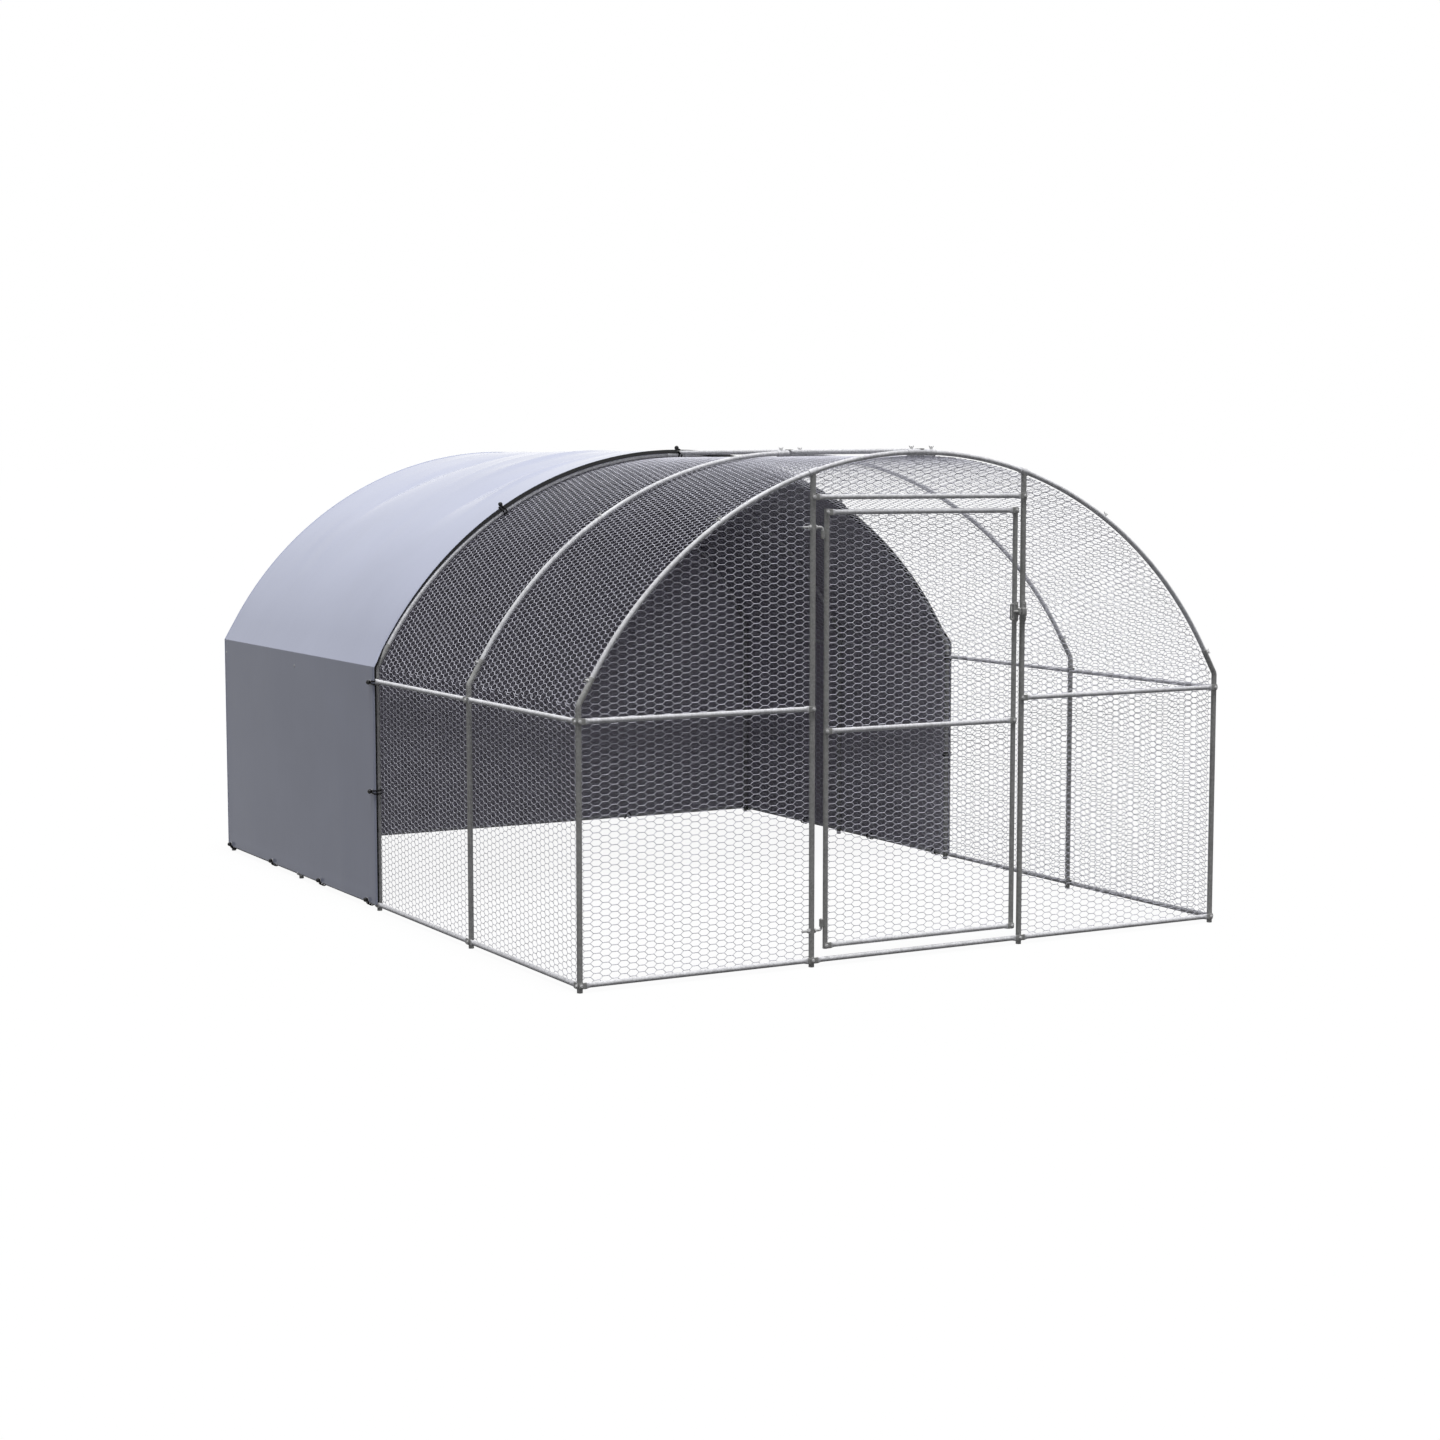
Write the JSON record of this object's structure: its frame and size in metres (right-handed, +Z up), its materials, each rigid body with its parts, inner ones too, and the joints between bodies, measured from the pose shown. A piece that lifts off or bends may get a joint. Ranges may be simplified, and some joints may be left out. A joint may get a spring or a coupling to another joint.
{
  "type": "walk-in poultry run",
  "caption": "Walk-in metal chicken coop: tube arches with wire netting, a hinged front door with a sliding bolt, and a rain cover over the rear half.",
  "frame": {"origin": "on the ground, at the middle of the overall length and width", "axes": "+X to the right seen from the door, +Y from the door at the front to the rear, +Z up"},
  "size_m": [3.0656, 4.0508, 2.0298],
  "materials": {
    "galvanised_tube": "hot-dip galvanised, dull with a fine spangle",
    "zinc_fittings": "bright zinc plated",
    "wire_netting": "galvanised hexagonal wire",
    "tarpaulin": "grey woven polyethylene sheet with a slight sheen",
    "black_plastic": "black, satin"
  },
  "bodies": {
    "frame": {"post_1_left": "galvanised_tube", "post_1_right": "galvanised_tube", "arch_1": "galvanised_tube", "post_2_left": "galvanised_tube", "post_2_right": "galvanised_tube", "arch_2": "galvanised_tube", "post_3_left": "galvanised_tube", "post_3_right": "galvanised_tube", "arch_3": "galvanised_tube", "post_4_left": "galvanised_tube", "post_4_right": "galvanised_tube", "arch_4": "galvanised_tube", "post_5_left": "galvanised_tube", "post_5_right": "galvanised_tube", "arch_5": "galvanised_tube", "apex_sleeves": "galvanised_tube", "door_post_collars": "galvanised_tube", "ridge_tubes": "galvanised_tube", "left_bottom_rails": "galvanised_tube", "left_middle_rails": "galvanised_tube", "front_bottom_rail_left": "galvanised_tube", "front_middle_rail_left": "galvanised_tube", "right_bottom_rails": "galvanised_tube", "right_middle_rails": "galvanised_tube", "front_bottom_rail_right": "galvanised_tube", "front_middle_rail_right": "galvanised_tube", "door_sill_rail": "galvanised_tube", "door_header_rail": "galvanised_tube", "rear_bottom_rail": "galvanised_tube", "door_post_left": "galvanised_tube", "door_post_right": "galvanised_tube", "hinge_bolts": "zinc_fittings", "hinge_nuts": "zinc_fittings", "latch_keeper": "zinc_fittings", "front_net_left": "galvanised_tube", "front_net_right": "galvanised_tube", "lintel_net": "wire_netting", "left_net": "wire_netting", "right_net": "wire_netting", "rear_net": "wire_netting", "roof_net": "wire_netting", "cover": "tarpaulin", "cover_rear_wall": "tarpaulin", "bungee_balls": "black_plastic"},
    "door": {"door_stile_left": "galvanised_tube", "door_stile_right": "galvanised_tube", "door_bottom_rail": "galvanised_tube", "door_middle_rail": "galvanised_tube", "door_top_rail": "galvanised_tube", "door_hinge_sleeves": "zinc_fittings", "latch_guide": "zinc_fittings", "door_net": "wire_netting"},
    "latch_bolt": {"latch_bolt": "zinc_fittings"}
  },
  "joints": [
    {"name": "door_hinge", "type": "hinge", "parent": "frame", "child": "door", "pos_m": [-0.448, -1.9964, 0], "axis": [0, 0, -1], "range_deg": [0, 110]},
    {"name": "latch_slide", "type": "slide", "parent": "door", "child": "latch_bolt", "axis": [1, 0, 0], "range_m": [0, 0.016]}
  ]
}
